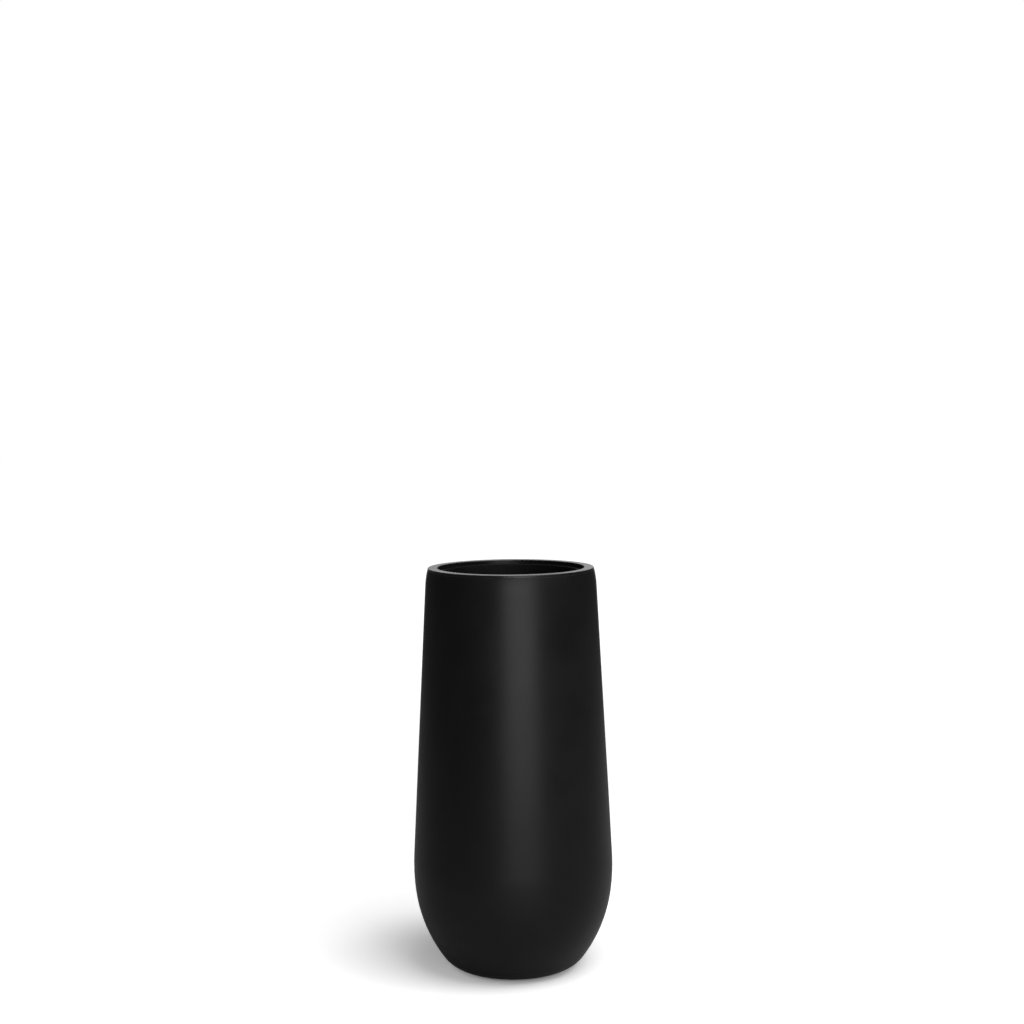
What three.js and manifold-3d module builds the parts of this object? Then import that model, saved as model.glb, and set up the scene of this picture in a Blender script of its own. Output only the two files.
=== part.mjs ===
// Tall round planter moulded in glass-fibre laminate, in millimetres, +Z up.
// The origin is the centre of the circle that the planter stands on.
//
// The outside of the wall is one curve of revolution. It leans inwards at the rim, runs down straight with a
// slight taper, swells into a low belly and turns in through a hip and a heel to a flat base. A separate rim
// closes the top, a bonded floor panel with a drain closes the base, and a planting insert hangs in the rim.

import * as THREE from 'three';
import { mergeVertices } from 'three/addons/utils/BufferGeometryUtils.js';
import Module from 'manifold-3d';

const wasm = await Module();
wasm.setup();

// Outside of the wall. A lean is the angle between the wall and the vertical, below zero where the wall
// widens downwards.
const HEIGHT = 800;
const MOUTH_RADIUS = 164.4;
const SHOULDER_LEAN = -13.7;
const SHOULDER_ARC = 200;
const WALL_LEAN = -3;
const BELLY_ARC = 400;
const BELLY_END_LEAN = 7.3;
const HIP_ARC = 282;
const HIP_END_LEAN = 36.2;
const HEEL_ARC = 55;
const WALL = 4.5;

// Gap between surfaces that touch or are bonded on the real planter.
const SEAT_GAP = 0.3;

// Rim: a flat top, an inner face, a ledge for the insert and a skirt inside the shell.
const RIM_WIDTH = 19;
const RIM_THICKNESS = 5;
const RIM_EDGE_ROUND = 1.2;
const LEDGE_DEPTH = 11;
const LEDGE_WIDTH = 9;
const SKIRT_DEPTH = 20;
const SKIRT_THICKNESS = 4;

// Rubber pads under the base.
const PAD_HEIGHT = 2.7;
const PAD_RADIUS = 12;
const PAD_CHAMFER = 0.6;
const PAD_INSET = 6;
const PAD_COUNT = 4;

// Base opening, floor panel and drain.
const BASE_OPENING_RADIUS = 38;
const PANEL_THICKNESS = 5;
const PANEL_OVERHANG = 3;
const SLEEVE_BORE_RADIUS = 13;
const SLEEVE_WALL = 2.2;
const SLEEVE_FLANGE_WIDTH = 7;
const SLEEVE_FLANGE_THICKNESS = 2.4;
const BUNG_TAPER = 4;
const BUNG_PROUD = 2;
const BUNG_HEAD_OVERLAP = 6;
const BUNG_HEAD_THICKNESS = 2.8;
const BUNG_HEAD_CHAMFER = 1.4;
const GRIP_LENGTH = 26;
const GRIP_WIDTH = 6;
const GRIP_HEIGHT = 3.2;

// Planting insert.
const INSERT_CLEARANCE = 1;
const INSERT_DEPTH = 300;
const INSERT_WALL = 3;
const INSERT_FLANGE_THICKNESS = 3;
const INSERT_LEAN = 3.5;
const INSERT_CORNER_ROUND = 10;
const DRAIN_HOLE_RADIUS = 6;
const DRAIN_HOLE_COUNT = 8;
const DRAIN_CIRCLE_SHARE = 0.68;
const SLOT_LENGTH = 84;
const SLOT_HEIGHT = 24;
const SLOT_DROP = 20;

// Facets round the axis, and the most that a facet of a section's arc may stand off the arc.
const BODY_FACETS = 64;
const SMALL_FACETS = 32;
const FACET_HEIGHT = 0.2;

// How far a cutter runs past what it cuts, and how close two corners are to count as one.
const CUT_MARGIN = 5;
const MERGE_DISTANCE = 1e-4;

const GELCOAT = { color: 0x151516, roughness: 0.5, metalness: 0 };
const RIM_GELCOAT = { color: 0x1b1b1c, roughness: 0.45, metalness: 0 };
const LAMINATE = { color: 0x232322, roughness: 0.85, metalness: 0 };
const SLEEVE_PLASTIC = { color: 0x2a2b2c, roughness: 0.4, metalness: 0 };
const INSERT_PLASTIC = { color: 0x131313, roughness: 0.6, metalness: 0 };
const RUBBER = { color: 0x1a1a1a, roughness: 0.9, metalness: 0 };

const point = (radius, z) => new THREE.Vector2(radius, z);

// Facets that an arc takes to turn by an angle in degrees.
function arcSteps(radius, turn) {
  const halfFacet = Math.acos(1 - Math.min(FACET_HEIGHT / radius, 1));
  return Math.max(2, Math.ceil(turn / THREE.MathUtils.radToDeg(2 * halfFacet)));
}

// Points of an arc about a centre, from one polar angle to another, in degrees.
function arc(centreRadius, centreZ, radius, from, to) {
  const steps = arcSteps(radius, Math.abs(to - from));
  return Array.from({ length: steps + 1 }, (_, i) => {
    const angle = THREE.MathUtils.degToRad(from + ((to - from) * i) / steps);
    return point(centreRadius + radius * Math.cos(angle), centreZ + radius * Math.sin(angle));
  });
}

// The wall's curve from the rim down to the base, moved inwards by a depth. Each bend is an arc that takes
// the wall from one lean to the next, and the straight stretch takes up the height that the arcs leave.
function wallCurve(depth) {
  const bends = [
    { radius: SHOULDER_ARC, from: SHOULDER_LEAN, to: WALL_LEAN },
    { radius: BELLY_ARC, from: WALL_LEAN, to: BELLY_END_LEAN },
    { radius: HIP_ARC, from: BELLY_END_LEAN, to: HIP_END_LEAN },
    { radius: HEEL_ARC, from: HIP_END_LEAN, to: 90 },
  ];
  const sine = (lean) => Math.sin(THREE.MathUtils.degToRad(lean));
  const cosine = (lean) => Math.cos(THREE.MathUtils.degToRad(lean));
  const bendDrop = bends.reduce((sum, b) => sum + b.radius * (sine(b.to) - sine(b.from)), 0);
  const straight = (HEIGHT - BASE_Z - bendDrop) / cosine(WALL_LEAN);

  const curve = [];
  let radius = MOUTH_RADIUS;
  let z = HEIGHT;
  const mark = (lean) => curve.push(point(radius - depth * cosine(lean), z + depth * sine(lean)));
  mark(SHOULDER_LEAN);
  for (const [index, bend] of bends.entries()) {
    const steps = arcSteps(bend.radius, bend.to - bend.from);
    const start = point(radius, z);
    for (let step = 1; step <= steps; step += 1) {
      const lean = bend.from + ((bend.to - bend.from) * step) / steps;
      radius = start.x + bend.radius * (cosine(lean) - cosine(bend.from));
      z = start.y - bend.radius * (sine(lean) - sine(bend.from));
      mark(lean);
    }
    if (index === 0) {
      radius -= straight * sine(WALL_LEAN);
      z -= straight * cosine(WALL_LEAN);
      mark(WALL_LEAN);
    }
  }
  return curve;
}

// The stretch of a falling curve that lies at or below a height, cut square at that height.
function below(curve, top) {
  const first = curve.findIndex((p) => p.y < top);
  const [high, low] = [curve[Math.max(first - 1, 0)], curve[first]];
  const share = (high.y - top) / (high.y - low.y);
  return [point(high.x + (low.x - high.x) * share, top), ...curve.slice(first)];
}

// A closed outline in radius and height, turned round the Z axis.
function revolve(outline, facets) {
  const closed = [...outline, outline[0]];
  return new THREE.LatheGeometry(closed, facets).rotateX(Math.PI / 2);
}

function solid(geometry) {
  const bare = geometry.clone();
  bare.deleteAttribute('normal');
  bare.deleteAttribute('uv');
  const merged = mergeVertices(bare, MERGE_DISTANCE);
  const mesh = new wasm.Mesh({
    numProp: 3,
    vertProperties: new Float32Array(merged.attributes.position.array),
    triVerts: new Uint32Array(merged.index.array),
  });
  return new wasm.Manifold(mesh);
}

function geometryOf(manifold) {
  const mesh = manifold.getMesh();
  const geometry = new THREE.BufferGeometry();
  geometry.setAttribute('position', new THREE.BufferAttribute(mesh.vertProperties, 3));
  geometry.setIndex(new THREE.BufferAttribute(mesh.triVerts, 1));
  geometry.computeVertexNormals();
  return geometry;
}

// An upright block with half-round ends, centred on the axis, with its length along X.
function roundedBar(length, width, height) {
  const reach = (length - width) / 2;
  const shape = new THREE.Shape();
  shape.absarc(reach, 0, width / 2, -Math.PI / 2, Math.PI / 2, false);
  shape.absarc(-reach, 0, width / 2, Math.PI / 2, (3 * Math.PI) / 2, false);
  const curveSegments = SMALL_FACETS / 4;
  return new THREE.ExtrudeGeometry(shape, { depth: height, bevelEnabled: false, curveSegments });
}

// Heights and radii that several pieces share.
const BASE_Z = PAD_HEIGHT + SEAT_GAP;
const outerWall = wallCurve(0);
const innerWall = wallCurve(WALL);
const baseRadius = outerWall.at(-1).x;
const shellTop = HEIGHT - RIM_THICKNESS - SEAT_GAP;
const skirtRadius = below(innerWall, shellTop)[0].x - SEAT_GAP;
const rimInnerRadius = MOUTH_RADIUS - RIM_WIDTH;
const ledgeZ = HEIGHT - LEDGE_DEPTH;
const ledgeRadius = rimInnerRadius - LEDGE_WIDTH;
const baseInnerZ = BASE_Z + WALL;
const panelZ = baseInnerZ + SEAT_GAP;
const panelTop = panelZ + PANEL_THICKNESS;
const sleeveRadius = SLEEVE_BORE_RADIUS + SLEEVE_WALL;
const sleeveTop = panelTop + SEAT_GAP + SLEEVE_FLANGE_THICKNESS;

// Moulded shell: the wall, and a base turned in as far as the opening round the drain.
function bodyShell() {
  const outline = [
    ...below(outerWall, shellTop),
    point(BASE_OPENING_RADIUS, BASE_Z),
    point(BASE_OPENING_RADIUS, baseInnerZ),
    ...below(innerWall, shellTop).reverse(),
  ];
  return revolve(outline.reverse(), BODY_FACETS);
}

// Returned rim: its top is flush with the wall's outside, its skirt is bonded inside the shell's mouth, and
// its ledge carries the insert.
function rimLip() {
  const undersideZ = HEIGHT - RIM_THICKNESS;
  const undersideRadius = below(outerWall, undersideZ)[0].x;
  const skirtFoot = undersideZ - SKIRT_DEPTH;
  const webRadius = rimInnerRadius + RIM_THICKNESS;
  const ledgeFoot = ledgeZ - RIM_THICKNESS;
  const round = RIM_EDGE_ROUND;
  const outline = [
    ...arc(rimInnerRadius + round, HEIGHT - round, round, 180, 90),
    ...arc(MOUTH_RADIUS - round, HEIGHT - round, round, 90, 0),
    point(undersideRadius, undersideZ),
    point(skirtRadius, undersideZ),
    point(skirtRadius, skirtFoot),
    point(skirtRadius - SKIRT_THICKNESS, skirtFoot),
    point(skirtRadius - SKIRT_THICKNESS, undersideZ),
    point(webRadius, undersideZ),
    point(webRadius, ledgeFoot),
    point(ledgeRadius, ledgeFoot),
    point(ledgeRadius, ledgeZ),
    point(rimInnerRadius, ledgeZ),
  ];
  return revolve(outline.reverse(), BODY_FACETS);
}

// Floor panel, bonded on the turned-in base, with the hole for the drain sleeve.
function floorPanel() {
  const holeRadius = sleeveRadius + SEAT_GAP;
  const edgeRadius = baseRadius + PANEL_OVERHANG;
  const outline = [
    point(holeRadius, panelZ),
    point(edgeRadius, panelZ),
    point(edgeRadius, panelTop),
    point(holeRadius, panelTop),
  ];
  return revolve(outline, BODY_FACETS);
}

const bungSlope = Math.tan(THREE.MathUtils.degToRad(BUNG_TAPER));

// Flanged bush in the floor panel. Its bore widens downwards with the bung's taper.
function drainSleeve() {
  const flangeRadius = sleeveRadius + SLEEVE_FLANGE_WIDTH;
  const flangeZ = panelTop + SEAT_GAP;
  const outline = [
    point(SLEEVE_BORE_RADIUS, panelZ),
    point(sleeveRadius, panelZ),
    point(sleeveRadius, flangeZ),
    point(flangeRadius, flangeZ),
    point(flangeRadius, sleeveTop),
    point(SLEEVE_BORE_RADIUS - bungSlope * (sleeveTop - panelZ), sleeveTop),
  ];
  return revolve(outline, SMALL_FACETS);
}

// Rubber bung: a tapered plug in the sleeve, a head below the floor panel and a bar to pull it by.
function drainBung() {
  const seatRadius = SLEEVE_BORE_RADIUS - SEAT_GAP;
  const headTop = panelZ - SEAT_GAP;
  const headFoot = headTop - BUNG_HEAD_THICKNESS;
  const headRadius = sleeveRadius + BUNG_HEAD_OVERLAP;
  const plugTop = sleeveTop + BUNG_PROUD;
  const profile = [
    point(0, headFoot),
    point(headRadius - BUNG_HEAD_CHAMFER, headFoot),
    point(headRadius, headFoot + BUNG_HEAD_CHAMFER),
    point(headRadius, headTop),
    point(seatRadius, headTop),
    point(seatRadius, panelZ),
    point(seatRadius - bungSlope * (plugTop - panelZ), plugTop),
    point(0, plugTop),
  ];
  const plug = solid(new THREE.LatheGeometry(profile, SMALL_FACETS).rotateX(Math.PI / 2));
  const bar = roundedBar(GRIP_LENGTH, GRIP_WIDTH, GRIP_HEIGHT + BUNG_HEAD_THICKNESS / 2);
  bar.translate(0, 0, headFoot - GRIP_HEIGHT);
  return geometryOf(plug.add(solid(bar)));
}

// Rubber pad under the base.
function footPad() {
  const profile = [
    point(0, 0),
    point(PAD_RADIUS - PAD_CHAMFER, 0),
    point(PAD_RADIUS, PAD_CHAMFER),
    point(PAD_RADIUS, PAD_HEIGHT),
    point(0, PAD_HEIGHT),
  ];
  return new THREE.LatheGeometry(profile, SMALL_FACETS).rotateX(Math.PI / 2);
}

// Planting insert: a tapered pot that hangs by its flange, with holes in its floor for water and a slot on
// each side for the fingers.
function plantingInsert() {
  const slope = Math.tan(THREE.MathUtils.degToRad(INSERT_LEAN));
  const flangeZ = ledgeZ + SEAT_GAP;
  const flangeTop = flangeZ + INSERT_FLANGE_THICKNESS;
  const floorZ = flangeZ - INSERT_DEPTH;
  const flangeRadius = rimInnerRadius - INSERT_CLEARANCE;
  const topRadius = ledgeRadius - INSERT_CLEARANCE;
  const bottomRadius = topRadius - slope * INSERT_DEPTH;
  const cornerRound = INSERT_CORNER_ROUND;
  const innerRound = cornerRound - INSERT_WALL;
  const cornerRadius = bottomRadius + slope * cornerRound - cornerRound;
  const outline = [
    point(0, floorZ),
    ...arc(cornerRadius, floorZ + cornerRound, cornerRound, -90, 0),
    point(topRadius, flangeZ),
    point(flangeRadius, flangeZ),
    point(flangeRadius, flangeTop),
    point(topRadius - INSERT_WALL, flangeTop),
    ...arc(cornerRadius, floorZ + cornerRound, innerRound, 0, -90),
    point(0, floorZ + INSERT_WALL),
  ];
  let pot = solid(new THREE.LatheGeometry(outline, BODY_FACETS).rotateX(Math.PI / 2));

  const holeDepth = INSERT_WALL + 2 * CUT_MARGIN;
  const circle = cornerRadius * DRAIN_CIRCLE_SHARE;
  const holeFacets = SMALL_FACETS / 2;
  for (let i = 0; i < DRAIN_HOLE_COUNT; i += 1) {
    const angle = (2 * Math.PI * (i + 0.5)) / DRAIN_HOLE_COUNT;
    const hole = new THREE.CylinderGeometry(DRAIN_HOLE_RADIUS, DRAIN_HOLE_RADIUS, holeDepth, holeFacets);
    hole.rotateX(Math.PI / 2);
    hole.translate(circle * Math.cos(angle), circle * Math.sin(angle), floorZ + INSERT_WALL / 2);
    pot = pot.subtract(solid(hole));
  }

  const slot = roundedBar(SLOT_LENGTH, SLOT_HEIGHT, 2 * (flangeRadius + CUT_MARGIN));
  slot.translate(0, 0, -(flangeRadius + CUT_MARGIN));
  slot.rotateX(Math.PI / 2);
  slot.rotateZ(Math.PI / 2);
  slot.translate(0, 0, flangeZ - SLOT_DROP - SLOT_HEIGHT / 2);
  return geometryOf(pot.subtract(solid(slot)));
}

const planter = new THREE.Group();

function place(name, geometry, finish) {
  const mesh = new THREE.Mesh(geometry, new THREE.MeshStandardMaterial(finish));
  mesh.name = name;
  planter.add(mesh);
  return mesh;
}

place('body_shell', bodyShell(), GELCOAT);
place('rim_lip', rimLip(), RIM_GELCOAT);
place('floor_panel', floorPanel(), LAMINATE);
place('drain_sleeve', drainSleeve(), SLEEVE_PLASTIC);
place('drain_bung', drainBung(), RUBBER);
place('planting_insert', plantingInsert(), INSERT_PLASTIC);

const padCircle = baseRadius - PAD_INSET - PAD_RADIUS;
for (let i = 0; i < PAD_COUNT; i += 1) {
  const angle = (2 * Math.PI * (i + 0.5)) / PAD_COUNT;
  const pad = place(`foot_pad_${i + 1}`, footPad(), RUBBER);
  pad.position.set(padCircle * Math.cos(angle), padCircle * Math.sin(angle), 0);
}

export default planter;
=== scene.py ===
"""Tall round planter in satin black fiberglass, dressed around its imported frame.

Lengths are in metres and +Z is up. A lean is the angle in degrees between the wall and the vertical, below
zero where the wall widens downwards. Most pieces are turned: a section in radius and height is carried round
the Z axis, and small reliefs move its points along the section's normal.
"""

from __future__ import annotations

import logging
import math
from collections.abc import Callable, Mapping, Sequence
from dataclasses import dataclass
from enum import Enum

import bpy
import numpy as np
from bpy.types import Material, Node, NodeSocket, NodeTree, Object
from mathutils import Euler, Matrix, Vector


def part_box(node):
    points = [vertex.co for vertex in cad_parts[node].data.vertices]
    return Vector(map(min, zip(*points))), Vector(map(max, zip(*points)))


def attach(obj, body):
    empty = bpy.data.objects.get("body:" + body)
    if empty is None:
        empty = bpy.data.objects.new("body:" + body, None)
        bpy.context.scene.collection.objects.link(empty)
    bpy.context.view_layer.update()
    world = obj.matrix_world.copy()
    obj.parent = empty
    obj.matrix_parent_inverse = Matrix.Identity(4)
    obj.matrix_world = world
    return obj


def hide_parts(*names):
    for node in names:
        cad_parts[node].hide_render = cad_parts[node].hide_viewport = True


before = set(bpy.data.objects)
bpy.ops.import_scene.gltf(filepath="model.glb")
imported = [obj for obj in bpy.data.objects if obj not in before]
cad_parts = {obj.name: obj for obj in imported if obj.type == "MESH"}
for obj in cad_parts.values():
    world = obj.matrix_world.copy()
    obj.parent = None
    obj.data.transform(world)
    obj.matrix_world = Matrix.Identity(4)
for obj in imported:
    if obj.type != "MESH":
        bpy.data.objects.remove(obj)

log = logging.getLogger("planter")

MM = 0.001
TURN = 2 * math.pi
SAME_PLACE = 1e-6
SHARP_ANGLE = 38.0
BLACK = (0.0, 0.0, 0.0)
WHITE = (1.0, 1.0, 1.0)

Array = np.ndarray
Colour = tuple[float, float, float]
Inputs = Mapping[int | str, object]
# A relief gives the lift along the section's normal, in metres, from arrays of angle, radius and height.
Relief = Callable[[Array, Array, Array], Array]


class Body(Enum):
    """The moving bodies that the pieces ride on."""

    PLANTER = "planter"
    INSERT = "insert"
    BUNG = "bung"


class Slot(Enum):
    """The record's material slots."""

    GELCOAT = "gelcoat"
    RIM_GELCOAT = "rim_gelcoat"
    LAMINATE = "laminate"
    SLEEVE_PLASTIC = "sleeve_plastic"
    INSERT_PLASTIC = "insert_plastic"
    RUBBER = "rubber"


class Ray(Enum):
    """The kinds of rays that can show the background."""

    CAMERA = "Is Camera Ray"
    GLOSSY = "Is Glossy Ray"
    TRANSMISSION = "Is Transmission Ray"


class Operation(Enum):
    """What a boolean does with the second mesh."""

    JOIN = "UNION"
    CUT = "DIFFERENCE"


# ---- Shader graphs ----


class Value:
    """A number socket of a shader graph that turns Python arithmetic into Math nodes."""

    def __init__(self, graph: Graph, socket: NodeSocket) -> None:
        """Wraps an output socket of a graph."""
        self.graph = graph
        self.socket = socket

    def _math(self, operation: str, *terms: Value | float) -> Value:
        """A Math node on the given terms."""
        return self.graph.number("ShaderNodeMath", dict(enumerate(terms)), operation=operation)

    def __add__(self, other: Value | float) -> Value:
        """The sum of two numbers."""
        return self._math("ADD", self, other)

    def __sub__(self, other: Value | float) -> Value:
        """This number less another."""
        return self._math("SUBTRACT", self, other)

    def __rsub__(self, other: float) -> Value:
        """Another number less this one."""
        return self._math("SUBTRACT", other, self)

    def __mul__(self, other: Value | float) -> Value:
        """The product of two numbers."""
        return self._math("MULTIPLY", self, other)

    __radd__ = __add__
    __rmul__ = __mul__

    def most(self, other: Value | float) -> Value:
        """The larger of two numbers."""
        return self._math("MAXIMUM", self, other)

    def ramp(self, low: float, high: float) -> Value:
        """A smooth step from 0 at the low level to 1 at the high one."""
        levels = {"Value": self, "From Min": low, "From Max": high}
        return self.graph.number("ShaderNodeMapRange", levels, interpolation_type="SMOOTHSTEP")


class Graph:
    """The node tree of a material or of the world."""

    def __init__(self, tree: NodeTree) -> None:
        """Empties a node tree to fill it anew."""
        self.tree = tree
        tree.nodes.clear()

    def node(self, kind: str, inputs: Inputs | None = None, **settings: object) -> Node:
        """Adds a node: its settings are made first, then its sockets are filled or linked.

        Args:
            kind: The node's type name.
            inputs: Values, sockets or nodes by the name or index of the input socket. A node gives its
                first output.
            settings: Properties of the node by name.

        Returns:
            The new node.
        """
        made = self.tree.nodes.new(kind)
        for name, setting in settings.items():
            setattr(made, name, setting)
        for key, source in (inputs or {}).items():
            if isinstance(source, Value):
                source = source.socket
            elif isinstance(source, Node):
                source = source.outputs[0]
            if isinstance(source, NodeSocket):
                self.tree.links.new(source, made.inputs[key])
            else:
                made.inputs[key].default_value = source
        return made

    def number(
        self, kind: str, inputs: Inputs | None = None, output: int | str = 0, **settings: object
    ) -> Value:
        """Adds a node and gives its number at an output, by name or index."""
        return Value(self, self.node(kind, inputs, **settings).outputs[output])

    def place(self, stretch: Colour = (1, 1, 1), turn: Colour = (0, 0, 0)) -> Node:
        """The point's own place on the piece, stretched along X, Y and Z and then turned by degrees."""
        own = self.node("ShaderNodeTexCoord").outputs["Object"]
        return self.node("ShaderNodeMapping", {0: own, 2: Euler(map(math.radians, turn)), 3: stretch})

    def noise(self, per_metre: float, detail: float = 2.0, where: Node | None = None) -> Value:
        """Cloudy noise from 0 to 1, by clouds in a metre, levels of finer clouds and where it is read."""
        inputs = {"Vector": where or self.place(), "Scale": per_metre, "Detail": detail}
        return self.number("ShaderNodeTexNoise", inputs)

    def cells(self, per_metre: float) -> Value:
        """Distance to the nearest of many scattered points, in cell widths."""
        return self.number("ShaderNodeTexVoronoi", {"Vector": self.place(), "Scale": per_metre}, "Distance")

    def attribute(self, name: str) -> Value:
        """A number that the mesh holds at each point."""
        return self.number("ShaderNodeAttribute", None, "Fac", attribute_name=name)

    def blend(self, share: Value | float, first: object, second: object) -> NodeSocket:
        """A colour from one colour or colour socket, at a share of 0, to another, at 1."""
        inputs = {0: share, 6: opaque(first), 7: opaque(second)}
        return self.node("ShaderNodeMix", inputs, data_type="RGBA").outputs[2]

    def relief(self, height: Value, depth: float, strength: float) -> Node:
        """A Bump node over a height from 0 to 1, with the depth of 1 in metres and the share that is used."""
        return self.node("ShaderNodeBump", {"Height": height, "Distance": depth, "Strength": strength})

    def ray(self, kind: Ray) -> Value:
        """1 for rays of a kind and 0 for all others."""
        return self.number("ShaderNodeLightPath", None, kind.value)

    def shown(self, direction: object, edge: tuple[float, float]) -> Value:
        """Tells the rays that show the white background.

        Args:
            direction: Where the floor or the world is seen from the planter: a node or a socket.
            edge: The direction's shares of +Y between which mirrored rays come to show the background.

        Returns:
            1 for rays that show it straight, mirrored or through a piece, and 0 for all others.
        """
        rays = self.ray(Ray.CAMERA).most(self.ray(Ray.GLOSSY)).most(self.ray(Ray.TRANSMISSION))
        elsewhere = 1.0 - self.number("ShaderNodeSeparateXYZ", {0: direction}, "Y").ramp(*edge)
        return rays * (1.0 - self.ray(Ray.GLOSSY) * elsewhere)


def opaque(colour: object) -> object:
    """A colour with its alpha, or a socket as it is."""
    return (*colour, 1.0) if isinstance(colour, tuple) else colour


# ---- Finishes ----


@dataclass(frozen=True)
class Finish:
    """A named finish, made as a material of one Principled shader."""

    name: str

    def material(self) -> Material:
        """Makes the finish's material."""
        made = bpy.data.materials.new(self.name)
        made.use_nodes = True
        graph = Graph(made.node_tree)
        shader = graph.node("ShaderNodeBsdfPrincipled", self._sockets(graph))
        graph.node("ShaderNodeOutputMaterial", {"Surface": shader})
        return made

    def _sockets(self, graph: Graph) -> dict[str, object]:
        """Works out the shader's sockets, in a way of its own for each finish.

        Args:
            graph: The material's graph.

        Returns:
            Values, sockets or nodes by the name of the shader's input.
        """
        raise NotImplementedError


@dataclass(frozen=True)
class Gelcoat(Finish):
    """Satin gelcoat: cloudy depth, a fine orange peel, rubbed edges and a little dust."""

    colour: Colour = (0.0040, 0.0040, 0.0042)
    cloud_colour: Colour = (0.0054, 0.0053, 0.0055)
    rubbed_colour: Colour = (0.030, 0.030, 0.031)
    dust_colour: Colour = (0.045, 0.044, 0.042)
    roughness: float = 0.39
    roughness_swing: float = 0.06
    specular: float = 0.18
    rubbing: float = 0.6
    dust: float = 0.05
    peel_depth: float = 0.05 * MM

    def _sockets(self, graph: Graph) -> dict[str, object]:
        """The shader's sockets: wear and dust lie over the cloudy base, and wear dulls it."""
        clouds = graph.noise(9.0, 4.0).ramp(0.35, 0.7)
        specks = graph.noise(900.0, 2.0).ramp(0.62, 0.75)
        patches = graph.noise(14.0, 3.0).ramp(0.45, 0.75)
        scratches = graph.noise(60.0, 6.0, graph.place((1.0, 1.0, 14.0))).ramp(0.6, 0.72)
        rubbed = graph.attribute("edge") * graph.noise(160.0, 5.0).ramp(0.32, 0.68) * self.rubbing
        dusty = specks * patches * self.dust
        base = graph.blend(clouds, self.colour, self.cloud_colour)
        worn = graph.blend(rubbed, base, self.rubbed_colour)
        peel = graph.noise(330.0, 2.0) + graph.noise(1500.0, 1.0) * 0.25
        swing = (clouds * 0.6 + scratches * 0.4 - 0.4) * self.roughness_swing
        return {
            "Base Color": graph.blend(dusty, worn, self.dust_colour),
            "Roughness": swing + rubbed * 0.1 + self.roughness,
            "Specular IOR Level": self.specular,
            "Normal": graph.relief(peel, self.peel_depth, 0.35),
        }


@dataclass(frozen=True)
class Laminate(Finish):
    """Bare side of the laminate: strands of glass mat under dark resin."""

    name: str = "bare_laminate"
    resin: Colour = (0.010, 0.010, 0.0095)
    strand: Colour = (0.034, 0.034, 0.032)
    roughness: float = 0.52
    strand_turns: tuple[float, ...] = (12.0, 57.0, 101.0, 146.0)

    def _sockets(self, graph: Graph) -> dict[str, object]:
        """The shader's sockets: strands are layers of noise drawn out along Y, each read at another turn."""
        mat: Value | None = None
        for turn in self.strand_turns:
            where = graph.place((1.0, 0.07, 0.5), (turn, turn * 0.7, turn * 1.3))
            layer = graph.noise(520.0, 3.0, where).ramp(0.52, 0.62)
            mat = layer if mat is None else mat.most(layer)
        lumps = graph.noise(70.0, 4.0)
        return {
            "Base Color": graph.blend(mat * lumps, self.resin, self.strand),
            "Roughness": lumps.ramp(0.3, 0.7) * 0.2 + self.roughness - mat * 0.08,
            "Specular IOR Level": 0.4,
            "Normal": graph.relief(mat * 0.45 + lumps, 0.9 * MM, 0.7),
        }


@dataclass(frozen=True)
class MouldedPlastic(Finish):
    """Moulded plastic: spark-eroded grain, faint flow clouds and worn edges."""

    colour: Colour
    worn_colour: Colour = (0.05, 0.05, 0.05)
    roughness: float = 0.5
    specular: float = 0.4
    grain_per_metre: float = 1400.0
    grain_depth: float = 0.06 * MM

    def _sockets(self, graph: Graph) -> dict[str, object]:
        """The shader's sockets: grain roughens the surface, and edges are rubbed lighter."""
        flow = graph.noise(22.0, 3.0, graph.place((1.0, 1.0, 0.3))).ramp(0.35, 0.7)
        grain = graph.noise(self.grain_per_metre, 2.0)
        scuffs = graph.noise(90.0, 6.0, graph.place((1.0, 1.0, 0.08))).ramp(0.6, 0.7)
        rubbed = graph.attribute("edge") * graph.noise(220.0, 4.0).ramp(0.35, 0.65) * 0.5
        lighter = tuple(1.35 * part for part in self.colour)
        base = graph.blend(flow, self.colour, lighter)
        return {
            "Base Color": graph.blend(rubbed.most(scuffs * 0.12), base, self.worn_colour),
            "Roughness": flow * 0.06 + grain * 0.08 + scuffs * 0.06 + self.roughness,
            "Specular IOR Level": self.specular,
            "Normal": graph.relief(grain, self.grain_depth, 0.6),
        }


@dataclass(frozen=True)
class Rubber(Finish):
    """Black rubber with a dusty bloom and small pits."""

    name: str = "black_rubber"
    colour: Colour = (0.010, 0.010, 0.010)
    bloom: Colour = (0.032, 0.031, 0.030)
    roughness: float = 0.72

    def _sockets(self, graph: Graph) -> dict[str, object]:
        """The shader's sockets: bloom gathers in clouds, and pits are small cells."""
        bloom = graph.noise(120.0, 5.0).ramp(0.42, 0.75)
        pits = graph.cells(1500.0).ramp(0.1, 0.4)
        return {
            "Base Color": graph.blend(bloom * 0.5, self.colour, self.bloom),
            "Roughness": bloom * 0.12 + self.roughness,
            "Specular IOR Level": 0.35,
            "Normal": graph.relief(pits, 0.05 * MM, 0.5),
        }


# ---- Sections and turned meshes ----


@dataclass(frozen=True)
class Corner:
    """A corner of a section, in radius and height, with the radius of its rounding."""

    radius: float
    height: float
    round: float = 0.0


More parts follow.
